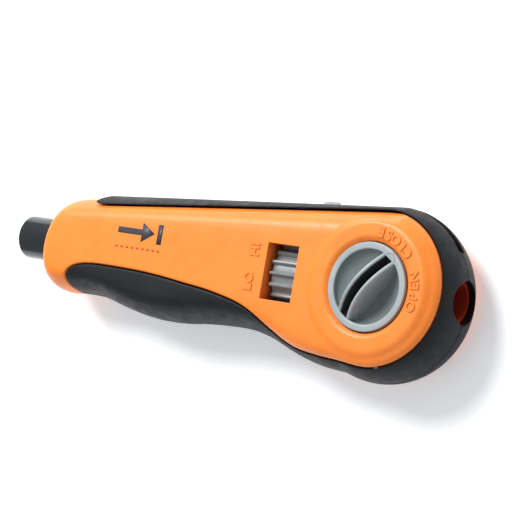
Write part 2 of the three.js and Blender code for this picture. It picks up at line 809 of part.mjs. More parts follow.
addPart('front_shell', frontShell(), orange);
addPart('rear_shell', rearShell(), orange);
addPart('front_grip', gripHalf(), rubber);
addPart('rear_grip', mirrored(gripHalf()), rubber);
addPart('nose_bush', noseBush(), brass);
addPart('blade_socket', bladeSocket(), darkPlastic);
addPart('blade_clip_ring', bladeClip(), steel);
addPart('return_spring', coilX(socketX[1] + 0.3, hammerX[0] - 0.3, 4.6, 0.5, 4), steel);
addPart('hammer', hammer(), steel);
addPart('latch_plate', latchPlate(), steel);
addPart('latch_spring', latchSpring(), steel);
addPart('hammer_spring', coilX(hammerX[1] + 0.4, seatX[0] - 0.4, springRadius, mainWire, 7), steel);
addPart('spring_seat', springSeat(), brass);
addPart('impact_dial', impactDial(), grey);
addPart('dial_thrust_washer', thrustWasher(), steel);
addPart('storage_knob', storageKnob(), grey);
addPart('knob_washer', knobWasher(), steel);
addPart('knob_detent_leaf', detentLeaf(), steel);
addPart('wire_hook', wireHook(), steel);
addPart('spudger', spudger(), steel);
addPart('fold_pivot_pin', foldPin(), steel);
screwPlaces.forEach((place, i) => addPart(`housing_screw_${i + 1}`, housingScrew(place), steel));

// the part's origin: under the middle of the box, with the back face down
tool.position.set(53.48, 0.98, faceZ);
const part = new THREE.Group();
part.add(tool);

export default part;
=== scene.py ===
"""Looks of an impact punch down tool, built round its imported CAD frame.

Shapes are worked out in millimetres in the tool's own frame: the origin is the knob's axis at
the seam, +X runs from nose to rear end, +Y to the top edge, +Z out of the front face.
"""
import json
import math

import bmesh
import bpy
import numpy as np
from mathutils import Matrix, Vector
from mathutils.geometry import delaunay_2d_cdt


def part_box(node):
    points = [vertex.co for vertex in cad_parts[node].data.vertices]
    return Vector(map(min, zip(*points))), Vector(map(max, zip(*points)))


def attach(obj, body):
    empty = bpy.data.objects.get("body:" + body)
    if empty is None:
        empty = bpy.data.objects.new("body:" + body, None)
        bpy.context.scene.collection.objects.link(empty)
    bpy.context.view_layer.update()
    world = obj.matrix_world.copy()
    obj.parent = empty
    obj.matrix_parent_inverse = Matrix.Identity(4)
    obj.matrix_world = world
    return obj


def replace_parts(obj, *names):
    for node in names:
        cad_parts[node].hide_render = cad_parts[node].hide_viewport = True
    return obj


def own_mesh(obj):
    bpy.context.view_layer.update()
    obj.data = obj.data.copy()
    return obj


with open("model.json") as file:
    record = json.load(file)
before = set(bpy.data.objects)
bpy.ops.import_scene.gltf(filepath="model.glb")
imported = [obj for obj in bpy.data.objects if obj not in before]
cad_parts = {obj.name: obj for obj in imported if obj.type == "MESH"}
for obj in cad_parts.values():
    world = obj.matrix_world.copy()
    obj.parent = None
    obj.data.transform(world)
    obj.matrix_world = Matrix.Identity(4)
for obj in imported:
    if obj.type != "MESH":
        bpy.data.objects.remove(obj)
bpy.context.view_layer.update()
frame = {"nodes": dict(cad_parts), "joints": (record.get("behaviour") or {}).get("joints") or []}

MM = 0.001
joints = {joint["name"]: joint for joint in frame["joints"]}


def tool_origin():
    """The knob's axis at the seam, in the frame's metres."""
    x, y, _ = joints["knob_turn"]["pos_m"]
    seam = (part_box("front_grip")[0][2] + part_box("rear_grip")[1][2]) / 2
    return np.array((x, y, seam))


ORIGIN = tool_origin()

# ---------- driving dimensions, in millimetres ----------

EDGE_RADIUS = 14.2  # rounding of the body's edges, seen along X
FACE_Z = 11.2
FACE_BLEND = 1.6
SEAM_Z = 0.12
STRIP_RISE = 1.3
REAR_CENTRE = (0.6, -0.85)
REAR_RADIUS = 24.1
BAND_RADIUS = 21.15
GROOVE = 0.36  # between hard shell and soft grip
BOSS_RADIUS = 17.0
BOSS_FLANK = 2.4
BOSS_Z = 12.0
KNOB_HOLE = 12.35
HOLE_CHAMFER = 1.15
HOLE_CHAMFER_DROP = 1.1
SKIN_WALL = 1.8  # depth of the plain walls under a border
SEAM_FLANGE = 1.4
SLOT_FLANGE = 3.2
NOSE_WALL_X = -115.5
LIP_X = 21.5  # where the soft lip of the store's mouth ends
SHARP = 40  # degrees; edges that turn by more are kept sharp
WINDOW_X = (-34.0, -23.7)
WINDOW_Y = (-7.6, 8.0)
NOSE_HOLE = 6.9
STORE_MOUTH = 5.85
STORE_RADIUS = 5.0
SLOT_HALF = 1.5
SLOT_FROM_X = -29.5
SLOT_ABOVE_Y = 13.0
SCREWS = [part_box(f"housing_screw_{i}") for i in range(1, 6)]


# ---------- outlines ----------

def catmull(points, steps):
    """Points along a Catmull-Rom curve that starts and ends at the first and last point."""
    p = np.array(points, dtype=float)
    p = np.vstack([2 * p[0] - p[1], p, 2 * p[-1] - p[-2]])
    t = np.linspace(0, 1, steps, endpoint=False)[:, None]
    runs = []
    for a, b, c, d in zip(p[:-3], p[1:-2], p[2:-1], p[3:]):
        runs.append(b + 0.5 * t * (c - a + t * (2 * a - 5 * b + 4 * c - d + t * (3 * (b - c) + d - a))))
    return np.vstack(runs + [p[-2:-1]])


def resampled(points, spacing, closed):
    """The same line with evenly spaced points."""
    p = np.vstack([points, points[:1]]) if closed else np.asarray(points)
    along = np.concatenate([[0], np.cumsum(np.linalg.norm(np.diff(p, axis=0), axis=1))])
    count = max(2, int(round(along[-1] / spacing)))
    places = np.linspace(0, along[-1], count + 1)
    if closed:
        places = places[:-1]
    return np.column_stack([np.interp(places, along, p[:, k]) for k in range(2)])


def smoothed(points, passes):
    """A closed line with its corners eased."""
    for _ in range(passes):
        points = (np.roll(points, 1, axis=0) + 2 * points + np.roll(points, -1, axis=0)) / 4
    return points


def arc(centre, radius, start, end, steps):
    angles = np.linspace(start, end, steps)
    return np.column_stack([centre[0] + radius * np.cos(angles), centre[1] + radius * np.sin(angles)])


def top_line(x):
    """Height of the top edge, bowed by a few hundredths of a millimetre."""
    bow = 0.04 * (1 - ((x + 50.7) / 53.3) ** 2)
    return 22.96 + 0.0705 * x + bow


def body_outline(lift):
    """Closed side outline at the seam, clockwise; lift raises the top edge to the grip strip."""
    drop = STRIP_RISE - lift
    top = [(x, top_line(x) - drop) for x in np.linspace(-104, 2.6, 214)]
    rear = arc(REAR_CENTRE, REAR_RADIUS, math.radians(84.8) - 0.06 * drop, math.radians(-110), 80)
    belly_and_nose = catmull([
        tuple(rear[-1]), (-15.7, -23), (-24.2, -21.1), (-33, -18), (-41.4, -16.5), (-50, -16.5),
        (-58.5, -17.1), (-67, -18.1), (-76.6, -18.1), (-86.1, -16.7), (-96.1, -14.6), (-105.4, -14.5),
        (-111.2, -14.9), (-115.6, -13.6), (-119, -10), (-120.6, -4.8), (-120.7, 0), (-119.5, 5.4),
        (-117, 9.8), (-113.4, 12.7), (-109.4, 13.8), (-106, 14.3), top[0],
    ], 12)
    line = np.vstack([top, rear[1:], belly_and_nose[1:-1]])
    return smoothed(resampled(line, 0.5, True), 12)


def line_normals(points, closed):
    """Unit normals that point to the right of the way the line runs."""
    if closed:
        along = np.roll(points, -1, axis=0) - np.roll(points, 1, axis=0)
    else:
        along = np.gradient(points, axis=0)
    along /= np.linalg.norm(along, axis=1)[:, None]
    return np.column_stack([along[:, 1], -along[:, 0]])


def distance_to(points, line, closed=True):
    """Distance from each point to a line of short segments."""
    a = line if closed else line[:-1]
    b = np.roll(line, -1, axis=0) if closed else line[1:]
    ab = b - a
    best = np.full(len(points), 1e9)
    for start in range(0, len(points), 2000):
        part = points[start:start + 2000, None, :] - a[None]
        share = np.clip((part * ab).sum(2) / np.maximum((ab * ab).sum(1), 1e-12), 0, 1)
        gap = np.linalg.norm(part - share[..., None] * ab, axis=2).min(1)
        best[start:start + 2000] = gap
    return best


def inside(points, loop):
    """Which points lie inside a closed loop."""
    x, y = points[:, 0], points[:, 1]
    hits = np.zeros(len(points), dtype=int)
    for (x0, y0), (x1, y1) in zip(loop, np.roll(loop, -1, axis=0)):
        crosses = (y0 > y) != (y1 > y)
        if crosses.any():
            at = x0 + (y - y0) * (x1 - x0) / ((y1 - y0) or 1e-12)
            hits += crosses & (x < at)
    return hits % 2 == 1


HARD = body_outline(0)
GRIP = body_outline(STRIP_RISE)


def face_border():
    """Open line where the bare face meets the grips, from the belly's nose end to the strip's."""
    belly = catmull([
        (-104.6, -15.6), (-106, -13.8), (-106.9, -12), (-106.7, -10.2), (-105.4, -8.2), (-103.2, -6.7),
        (-100, -5.8), (-95.5, -5.3), (-88.7, -5.2), (-79.5, -5.3), (-70.3, -5.8), (-61.2, -6.7),
        (-52.3, -7.6), (-43.8, -9.1), (-39, -10.5), (-34.8, -12.5), (-30.4, -15.2), (-26, -17.6),
        (-21.5, -19.2), (-14, -20.1), (-6.5, -20.5),
    ], 10)
    rear = arc((0, 0), BAND_RADIUS, math.radians(-88), math.radians(90), 110)
    strip = [(x, 21.2 + 0.0927 * x) for x in np.linspace(-3, -97, 60)]
    end = catmull([
        strip[-1], (-100, 12.1), (-101.6, 12.6), (-101.9, 13.4), (-101, 14.8), (-99.8, 16.4),
    ], 10)
    line = resampled(np.vstack([belly, rear, strip, end[1:]]), 0.45, False)
    eased = line.copy()
    for _ in range(16):
        eased[1:-1] = (eased[:-2] + 2 * eased[1:-1] + eased[2:]) / 4
    return eased


BORDER = face_border()


# ---------- skins: one smooth surface over a flat region, with rounded borders and inner walls ----------

def edge_rise(depth):
    """Height above the seam of the body's rounded edge, depth millimetres in from its outline."""
    return np.sqrt(np.maximum(EDGE_RADIUS ** 2 - (EDGE_RADIUS - np.minimum(depth, EDGE_RADIUS)) ** 2, 0))


def soft_min(a, b, blend):
    share = np.clip(0.5 + 0.5 * (b - a) / blend, 0, 1)
    return b * (1 - share) + a * share - blend * share * (1 - share)


def smooth_step(t):
    t = np.clip(t, 0, 1)
    return t * t * (3 - 2 * t)


def face_height(points, outline, boss):
    """Height of the outer surface over the seam plane."""
    z = soft_min(edge_rise(distance_to(points, outline)), np.full(len(points), FACE_Z), FACE_BLEND)
    if boss:
        reach = np.linalg.norm(points, axis=1)
        on_boss = smooth_step((BOSS_RADIUS + BOSS_FLANK - reach) / BOSS_FLANK)
        z = z + (BOSS_Z - z) * on_boss
        chamfer = (KNOB_HOLE + HOLE_CHAMFER - reach) / HOLE_CHAMFER
        z = z - HOLE_CHAMFER_DROP * np.clip(chamfer, 0, 1)
    return z


def thin_out(points, fixed, spacing):
    """Drops points that crowd a fixed point or an earlier point."""
    seen = {}
    keep = []
    for i, point in enumerate(np.vstack([fixed, points])):
        cell = (int(math.floor(point[0] / spacing)), int(math.floor(point[1] / spacing)))
        around = [(cell[0] + dx, cell[1] + dy) for dx in (-1, 0, 1) for dy in (-1, 0, 1)]
        near = [other for key in around for other in seen.get(key, ())]
        gaps = [(point[0] - other[0]) ** 2 + (point[1] - other[1]) ** 2 for other in near]
        if i >= len(fixed) and any(gap < spacing ** 2 for gap in gaps):
            continue
        seen.setdefault(cell, []).append(point)
        if i >= len(fixed):
            keep.append(point)
    return np.array(keep).reshape(-1, 2)


def triangulated(loops, extra):
    """Triangles over the region inside the first loop and outside the others."""
    corners = np.vstack(loops)
    points = np.vstack([corners, extra])
    edges = []
    first = 0
    for loop in loops:
        count = len(loop)
        edges += [(first + i, first + (i + 1) % count) for i in range(count)]
        first += count
    result = delaunay_2d_cdt([Vector(p) for p in points], edges, [], 0, 1e-7)
    flat = np.array([tuple(v) for v in result[0]])
    faces = np.array([f for f in result[2] if len(f) == 3])
    middles = flat[faces].mean(1)
    kept = inside(middles, loops[0])
    for hole in loops[1:]:
        kept &= ~inside(middles, hole)
    faces = faces[kept]
    a, b, c = flat[faces[:, 0]], flat[faces[:, 1]], flat[faces[:, 2]]
    turned = (b[:, 0] - a[:, 0]) * (c[:, 1] - a[:, 1]) < (b[:, 1] - a[:, 1]) * (c[:, 0] - a[:, 0])
    faces[turned] = faces[turned][:, ::-1]
    first_of = np.array([origins[0] if origins else -1 for origins in result[3]])
    return flat, faces, first_of


def rings_beside(line, distances, closed):
    """The line repeated at each distance to the right of the way it runs."""
    normals = line_normals(line, closed)
    return [line + normals * distance for distance in distances]


def signed_area(loop):
    x, y = loop[:, 0], loop[:, 1]
    return 0.5 * np.sum(x * np.roll(y, -1) - np.roll(x, -1) * y)


def rectangle(x, y, spacing):
    corners = np.array([(x[0], y[0]), (x[1], y[0]), (x[1], y[1]), (x[0], y[1])])
    return resampled(corners, spacing, True)


def circle(radius, spacing, centre=(0, 0)):
    count = max(24, int(2 * math.pi * radius / spacing))
    return arc(centre, radius, 0, 2 * math.pi * (1 - 1 / count), count)


def material_mesh(name, points, faces, material, body="housing", sharp=None):
    """A mesh object from points in tool millimetres, smooth but for edges sharper than sharp degrees."""
    mesh = bpy.data.meshes.new(name)
    placed = np.asarray(points, dtype=float) * MM + ORIGIN
    mesh.from_pydata(placed.tolist(), [], [list(map(int, face)) for face in faces])
    mesh.validate()
    piece = bpy.data.objects.new(name, mesh)
    bpy.context.scene.collection.objects.link(piece)
    return finished(piece, material, body, sharp)


def finished(piece, material, body, sharp=None):
    """Gives a piece its material, its shading and its body."""
    mesh = piece.data
    mesh.materials.clear()
    mesh.materials.append(material)
    shape = bmesh.new()
    shape.from_mesh(mesh)
    for face in shape.faces:
        face.smooth = True
    if sharp:
        limit = math.radians(sharp)
        for edge in shape.edges:
            edge.smooth = len(edge.link_faces) != 2 or edge.calc_face_angle(0) < limit
    shape.to_mesh(mesh)
    shape.free()
    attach(piece, body)
    return piece


class Border:
    """One stretch of a skin's edge: its points, its fillet, and the inner edge of the wall under
    it, either straight down by depth or at the points in low."""

    def __init__(self, line, fillet=0.0, depth=SKIN_WALL, low=None, closed=False):
        self.line = line
        self.fillet = fillet
        self.closed = closed
        self.depth = np.broadcast_to(depth, len(line))
        self.low = np.full((len(line), 3), np.nan) if low is None else low


EDGE_STEPS = EDGE_RADIUS * (1 - np.cos(np.linspace(0.04, 1.0, 20)))
FILLET_STEPS = np.array([0.06, 0.2, 0.42, 0.7, 1.05, 1.8])


def usable(points, loops, clearance):
    """The points inside the first loop and outside the others, clear of all of them."""
    kept = inside(points, loops[0])
    for loop in loops[1:]:
        kept &= ~inside(points, loop)
    points = points[kept]
    for loop in loops:
        points = points[distance_to(points, loop) > clearance]
    return points


def skin_points(borders, loops, outline, boss):
    """Points inside a skin: fillet rings, rings round the body's rounded edge, the boss and a grid."""
    fine = [np.zeros((0, 2))]
    for border in borders:
        if border.fillet:
            steps = FILLET_STEPS * border.fillet
            fine += rings_beside(border.line, np.concatenate([steps, -steps]), border.closed)
    coarse = []
    for depth, ring in zip(EDGE_STEPS, rings_beside(outline, EDGE_STEPS, True)):
        coarse.append(resampled(ring, 0.3 if depth < 0.7 else 0.9, True))
    if boss:
        radii = [13.45, 13.6, 14.1, 14.8, 15.6, 16.4, 16.9]  # from the hole's chamfer over the flat top
        radii += list(BOSS_RADIUS + BOSS_FLANK * np.linspace(0.05, 1.1, 14))
        coarse += [circle(radius, 0.8) for radius in radii]
    x, y = np.meshgrid(np.arange(-124, 25, 2.6), np.arange(-24, 24, 2.6))
    coarse.append(np.column_stack([x.ravel(), y.ravel()]))
    corners = np.vstack(loops)
    fine = thin_out(usable(np.vstack(fine), loops, 0.02), corners, 0.022)
    coarse = thin_out(usable(np.vstack(coarse), loops, 0.1), np.vstack([corners, fine]), 0.1)
    return np.vstack([fine, coarse])


def skin(name, outer, holes, outline, material, boss=False, mirrored=False):
    """One smooth moulded surface. outer is a list of open Borders that follow each other round
    the region, holes are closed Borders, and every border has a wall on its inner side."""
    groups = [outer] + [[hole] for hole in holes]
    loops = [np.vstack([border.line for border in group]) for group in groups]
    lows = [np.vstack([border.low for border in group]) for group in groups]
    depths = [np.concatenate([border.depth for border in group]) for group in groups]
    for k, loop in enumerate(loops):
        if (signed_area(loop) > 0) != (k == 0):
            loops[k], lows[k], depths[k] = loop[::-1], lows[k][::-1], depths[k][::-1]
    borders = outer + holes
    flat, faces, sources = triangulated(loops, skin_points(borders, loops, outline, boss))

    z = face_height(flat, outline, boss)
    for border in borders:
        if border.fillet:
            reach = np.maximum(border.fillet - distance_to(flat, border.line, border.closed), 0)
            z -= border.fillet - np.sqrt(border.fillet ** 2 - reach ** 2)
    surface = np.column_stack([flat, np.maximum(z, SEAM_Z)])

    vertex_of = {int(source): i for i, source in enumerate(sources) if source >= 0}
    points = [surface]
    faces = faces.tolist()
    total = len(surface)
    first = 0
    for loop, low, depth in zip(loops, lows, depths):
        count = len(loop)
        top = [vertex_of[first + i] for i in range(count)]
        under = surface[top].copy()
        under[:, 2] = np.maximum(under[:, 2] - depth, SEAM_Z)
        points.append(np.where(np.isnan(low), under, low))
        for i in range(count):
            j = (i + 1) % count
            faces.append((total + i, total + j, top[j], top[i]))
        total += count
        first += count
    points = np.vstack(points)
    if mirrored:
        points = points * (1, 1, -1)
        faces = [face[::-1] for face in faces]
    return material_mesh(name, points, faces, material, sharp=SHARP)


def seam_border(line):
    """The stretch of a body outline that meets the other half, with the bored ends and the slot
    for the fold-out tools left open."""
    normals = line_normals(line, False)
    x, y = line[:, 0], line[:, 1]
    rise = np.full(len(line), SEAM_Z)
    in_slot = (x > SLOT_FROM_X) & (y > SLOT_ABOVE_Y)
    rise[in_slot] = SLOT_HALF
    at_nose = (x < -110) & (np.abs(y) < NOSE_HOLE)
    at_mouth = (x > 10) & (np.abs(y) < STORE_MOUTH)
    rise[at_nose] = np.sqrt(NOSE_HOLE ** 2 - y[at_nose] ** 2)
    rise[at_mouth] = np.sqrt(STORE_MOUTH ** 2 - y[at_mouth] ** 2)
    rise = np.maximum(rise, SEAM_Z)
    depth = EDGE_RADIUS - np.sqrt(EDGE_RADIUS ** 2 - rise ** 2)
    moved = line + normals * depth[:, None]
    flange = np.where(in_slot, SLOT_FLANGE, SEAM_FLANGE)
    low = np.column_stack([moved + normals * flange[:, None], rise])
    low[at_nose, :2] = np.column_stack([np.full(at_nose.sum(), NOSE_WALL_X), y[at_nose]])
    low[at_mouth, :2] = np.column_stack([np.full(at_mouth.sum(), LIP_X), y[at_mouth]])
    return moved, low


def stretch(loop, start, end):
    """The points of a closed loop from the one nearest start to the one nearest end, going on."""
    first = int(np.argmin(np.linalg.norm(loop - start, axis=1)))
    last = int(np.argmin(np.linalg.norm(loop - end, axis=1)))
    if last <= first:
        last += len(loop)
    return loop[np.arange(first, last + 1) % len(loop)]


def within(line, outline, clearance):
    """The stretch of an open line that lies inside an outline."""
    kept = inside(line, outline) & (distance_to(line, outline) > clearance)
    places = np.flatnonzero(kept)
    return line[places[0]:places[-1] + 1]


def shell_skin(name, material, front):
    """Hard half shell: bare face, nose and window, with the knob's hole or the screw holes."""
    edge = within(BORDER, HARD, 0.2)
    nose, nose_low = seam_border(stretch(HARD, edge[0], edge[-1]))
    outer = [Border(edge, fillet=0.6, depth=wall_depth(edge)), Border(nose[::-1], low=nose_low[::-1])]
    window = rectangle(WINDOW_X, WINDOW_Y, 0.6)
    at_dial_end = np.isclose(window[:, :1], WINDOW_X).any(1)
    holes = [Border(window, fillet=0.16, depth=np.where(at_dial_end, 7.0, 4.6), closed=True)]
    if front:
        holes.append(Border(circle(KNOB_HOLE, 0.45), depth=1.4, closed=True))
    else:
        for low, high in SCREWS:
            centre = (np.array(low[:2]) + np.array(high[:2])) / 2 / MM - ORIGIN[:2] / MM
            head = (low[2] - ORIGIN[2]) / MM
            hole = circle(2.45, 0.3, centre)
            rim = np.column_stack([hole, np.full(len(hole), -head - 1.6)])
            holes.append(Border(hole, fillet=0.12, low=rim, closed=True))
    return skin(name, outer, holes, HARD, material, boss=front, mirrored=not front)


def wall_depth(line):
    """Walls reach the seam where a border runs over the rounded nose, clear of the plunger."""
    over_nose = (line[:, 0] < -98) & (np.abs(line[:, 1]) > 8.8)
    return np.where(over_nose, 20.0, SKIN_WALL)


def grip_skin(name, material, front):
    """Soft half grip: belly, rear band and top strip round the bare face."""
    edge = within(rings_beside(BORDER, [GROOVE], False)[0], GRIP, 0.2)
    seam, seam_low = seam_border(stretch(GRIP, edge[-1], edge[0]))
    outer = [Border(edge, fillet=0.45, depth=wall_depth(edge)), Border(seam, low=seam_low)]
    return skin(name, outer, [], GRIP, material, mirrored=not front)


# ---------- other solids ----------

def rounded(points, radius, closed=False, steps=4):
    """A line with its corners replaced by short curves."""
    p = np.array(points, dtype=float)
    t = np.linspace(0, 1, steps + 1)[:, None]
    runs = []
    for i, corner in enumerate(p):
        if not closed and i in (0, len(p) - 1):
            runs.append(corner[None])
            continue
        before = p[i - 1] - corner
        after = p[(i + 1) % len(p)] - corner
        start = corner + before * min(radius / np.linalg.norm(before), 0.45)
        end = corner + after * min(radius / np.linalg.norm(after), 0.45)
        runs.append((1 - t) ** 2 * start + 2 * t * (1 - t) * corner + t ** 2 * end)
    return np.vstack(runs)


def turned(stations, count=96, closed=False):
    """Solid round X. Each station is (x, radius), and a radius may be one number for each angle."""
    angles = np.arange(count) * 2 * math.pi / count
    rings = []
    for x, radius in stations:
        radius = np.broadcast_to(radius, count)
        rings.append(np.column_stack([np.full(count, x), radius * np.sin(angles), radius * np.cos(angles)]))
    faces = []
    for k in range(len(rings) if closed else len(rings) - 1):
        low, high = k * count, (k + 1) % len(rings) * count
        for i in range(count):
            j = (i + 1) % count
            faces.append((low + i, high + i, high + j, low + j))
    return np.vstack(rings), faces


def turned_z(profile, count):
    """Solid round Z from (radius, z) points."""
    points, faces = turned([(z, radius) for radius, z in profile], count)
    return points[:, [1, 2, 0]], faces


def plate(loops, low, high):
    """Flat closed solid over the region inside the first loop and outside the others."""
    flat, top, sources = triangulated(loops, np.zeros((0, 2)))
    vertex_of = {int(source): i for i, source in enumerate(sources) if source >= 0}
    count = len(flat)
    points = np.vstack([np.column_stack([flat, np.full(count, z)]) for z in (high, low)])
    faces = top.tolist() + [[i + count for i in face[::-1]] for face in top.tolist()]
    first = 0
    for k, loop in enumerate(loops):
        ring = [vertex_of[first + i] for i in range(len(loop))]
        first += len(loop)
        if (signed_area(loop) > 0) != (k == 0):
            ring = ring[::-1]
        faces += [(a + count, b + count, b, a) for a, b in zip(ring, ring[1:] + ring[:1])]
    return points, faces


def combined(*solids):
    """Several (points, faces) as one."""
    points, faces, total = [], [], 0
    for part_points, part_faces in solids:
        points.append(part_points)
        faces += [[i + total for i in face] for face in part_faces]
        total += len(part_points)
    return np.vstack(points), faces


def placed(solid, turn=0.0, shift=(0, 0, 0)):
    """A solid turned about Z by degrees and then moved."""
    points, faces = solid
    c, s = math.cos(math.radians(turn)), math.sin(math.radians(turn))
    x, y, z = points.T
    return np.column_stack([c * x - s * y, s * x + c * y, z]) + shift, faces


# ---------- materials ----------

def surface(name, color, roughness, metallic=0.0, vary=0.07, grain=0.25, depth=0.02, wear=0.25, **shader):
    """Material with colour drift, scuffs, uneven roughness and a fine grain, all worked out from noise.
    grain is its size in mm and depth its height in mm."""
    material = bpy.data.materials.new(name)
    material.use_nodes = True
    nodes, links = material.node_tree.nodes, material.node_tree.links
    body = nodes["Principled BSDF"]
    body.inputs["Metallic"].default_value = metallic
    for key, value in shader.items():
        body.inputs[key.replace("_", " ")].default_value = value
    place = nodes.new("ShaderNodeTexCoord")

    def noise(size, detail):
        node = nodes.new("ShaderNodeTexNoise")
        node.inputs["Scale"].default_value = 1 / (size * MM)
        node.inputs["Detail"].default_value = detail
        links.new(place.outputs["Object"], node.inputs["Vector"])
        return node.outputs["Fac"]

    def span(value, from_range, to_range):
        node = nodes.new("ShaderNodeMapRange")
        for socket, number in zip(node.inputs[1:5], from_range + to_range):
            socket.default_value = number
        links.new(value, node.inputs["Value"])
        return node.outputs["Result"]

    def mixed(factor, first, second):
        node = nodes.new("ShaderNodeMix")
        node.data_type = "RGBA"
        links.new(factor, node.inputs["Factor"])
        for key, value in (("A", first), ("B", second)):
            socket = [item for item in node.inputs if item.name == key and item.type == "RGBA"][0]
            if isinstance(value, tuple):
                socket.default_value = (*value, 1)
            else:
                links.new(value, socket)
        return [item for item in node.outputs if item.type == "RGBA"][0]

    darker = tuple(c * (1 - vary) for c in color)
    lighter = tuple(min(1, c * (1 + vary)) for c in color)
    scuffed = tuple(c + (0.55 - c) * 0.35 for c in color)
    drift = mixed(span(noise(9, 3), (0.35, 0.65), (0.0, 1.0)), darker, lighter)
    scuffs = span(noise(1.3, 6), (0.66, 0.74), (0.0, wear))
    links.new(mixed(scuffs, drift, scuffed), body.inputs["Base Color"])
    uneven = span(noise(2.5, 4), (0.3, 0.7), (roughness * 0.85, roughness * 1.15))
    links.new(uneven, body.inputs["Roughness"])
    bump = nodes.new("ShaderNodeBump")
    bump.inputs["Strength"].default_value = 0.6
    bump.inputs["Distance"].default_value = depth * MM
    links.new(noise(grain, 2), bump.inputs["Height"])
    links.new(bump.outputs["Normal"], body.inputs["Normal"])
    return material


orange = surface("orange_plastic", (0.93, 0.235, 0.024), 0.42, vary=0.04, grain=0.35, depth=0.012)
rubber = surface(
    "black_rubber", (0.008, 0.009, 0.011), 0.55, vary=0.15, grain=0.3, depth=0.03, wear=0.05,
    Specular_IOR_Level=0.25)
grey = surface("grey_plastic", (0.33, 0.37, 0.38), 0.42, grain=0.3, depth=0.01)
# Painted shade: a darker copy of the grey plastic for the knob's bowl, where shade falls.
bowl_painted_shade = surface("grey_plastic_bowl_painted_shade", (0.17, 0.2, 0.205), 0.4, grain=0.3, depth=0.01)
# Painted shade: a near-black copy of the grey plastic for the deep slot between the knob's fins.
slot_painted_shade = surface("grey_plastic_slot_painted_shade", (0.03, 0.035, 0.036), 0.6, grain=0.3, depth=0.01)
dial_grey = surface("dial_plastic", (0.21, 0.235, 0.24), 0.36, grain=0.3, depth=0.01)
# Painted shade: the inside of the blade store is coloured dark red where shade falls.
store_painted_shade = surface("store_painted_shade", (0.3, 0.02, 0.006), 0.5, grain=0.35, depth=0.012)
black_metal = surface("black_metal", (0.025, 0.028, 0.032), 0.17, metallic=0.3, grain=0.5, depth=0.004)
ink = surface("printed_ink", (0.05, 0.045, 0.06), 0.5, grain=0.3, depth=0.004)
red_ink = surface("printed_red_ink", (0.55, 0.05, 0.02), 0.5, grain=0.3, depth=0.004)
stamped = surface("stamped_steel", (0.42, 0.43, 0.45), 0.38, metallic=1.0, grain=0.6, depth=0.006)
spring_steel = surface("spring_steel", (0.45, 0.46, 0.48), 0.32, metallic=1.0, grain=0.4, depth=0.004)
machined = surface("machined_steel", (0.5, 0.51, 0.53), 0.3, metallic=1.0, grain=0.8, depth=0.004)
bronze = surface("bronze", (0.5, 0.34, 0.16), 0.35, metallic=1.0, grain=0.6, depth=0.004)
screw_steel = surface("screw_steel", (0.38, 0.39, 0.41), 0.35, metallic=1.0, grain=0.4, depth=0.004)


# ---------- skins of the shells and grips ----------

def thickened(piece):
    """Closes a skin by giving it a thin inner side."""
    wall = piece.modifiers.new("wall", "SOLIDIFY")
    wall.thickness = 0.3 * MM
    wall.offset = -1
    return piece


for name, shape, node in (
        ("front_shell_skin", shell_skin("front_shell_skin", orange, True), "front_shell"),
        ("rear_shell_skin", shell_skin("rear_shell_skin", orange, False), "rear_shell"),
        ("front_grip_skin", grip_skin("front_grip_skin", rubber, True), "front_grip"),
        ("rear_grip_skin", grip_skin("rear_grip_skin", rubber, False), "rear_grip")):
    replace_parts(thickened(shape), node)


# ---------- what shows inside the openings ----------

def blade_store():
    """Tube behind the rear mouth, coloured dark red as painted shade, with a gap where the knob's gate
    swings, and its stop wall.
    """
    inner, outer = STORE_RADIUS, STORE_RADIUS + 1.4
    front = [(-20.4, 0), (-20.4, outer), (6.6, outer), (6.6, inner), (-19.5, inner), (-19.5, 0)]
    rear = [(11.9, inner), (11.9, outer), (21.4, outer + 0.9), (21.4, inner)]
    return combined(turned(rounded(front, 0.2), 64), turned(rear, 64, closed=True))


def dial_chamber():
    """Walls before and behind the dial."""
    front = [(-35.2, 3.7), (-35.2, 10.2), (-34.1, 10.2), (-34.1, 3.7)]
    rear = [(-23.5, 4.5), (-23.5, 10.2), (-22.4, 10.2), (-22.4, 4.5)]
    return combined(turned(front, 64, closed=True), turned(rear, 64, closed=True))


def fold_pocket():
    """Two walls and a floor round the fold-out tools."""
    wall = np.array([(-31, 11), (7, 8.7), (14.5, 8.7), (18.2, 12.0), (12.5, 18.6), (-29, 17.6)])
    floor_line = np.array([(-31, 11), (7, 8.7), (14.5, 8.7), (18.2, 12.0)])
    floor_top = floor_line + (0, 1.2)
    band = np.vstack([floor_line, floor_top[::-1]])
    sides = [plate([wall], low, low + 0.8) for low in (-SLOT_HALF - 0.85, SLOT_HALF + 0.05)]
    return combined(*sides, plate([band], -SLOT_HALF - 0.05, SLOT_HALF + 0.05))


material_mesh("blade_store_tube", *blade_store(), store_painted_shade, sharp=SHARP)
material_mesh("dial_chamber_walls", *dial_chamber(), orange, sharp=SHARP)
material_mesh("fold_pocket_walls", *fold_pocket(), orange, sharp=SHARP)


# ---------- plunger ----------

def blade_socket():
    """Black socket with a round bore, two lug slots and a turning groove, its flange and its stem."""
    count = 180
    angles = np.arange(count) * 2 * math.pi / count
    across = np.maximum(np.abs(np.sin(angles)), 1e-6)
    bore, reach = 4.2, 5.5
    slotted = np.clip(1.2 / across, bore, reach)
    outer = rounded([(-131.1, 5.2), (-131.1, 6.6), (-109, 6.6), (-109, 8.3), (-106, 8.3), (-106, 3)], 0.9)
    stations = [(x, radius) for x, radius in outer]
    stations += [(-92.3, 3), (-92.3, 0)]
    mouth = [(-108, 0), (-108, bore), (-118.4, bore), (-118.4, reach), (-121, reach), (-121, slotted)]
    mouth += [(-130.7, slotted), (-131.0, slotted + 0.15)]
    return turned(mouth + stations, count)


socket = material_mesh("blade_socket_turned", *blade_socket(), black_metal, "plunger", sharp=35)
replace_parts(socket, "blade_socket")


# ---------- impact dial ----------

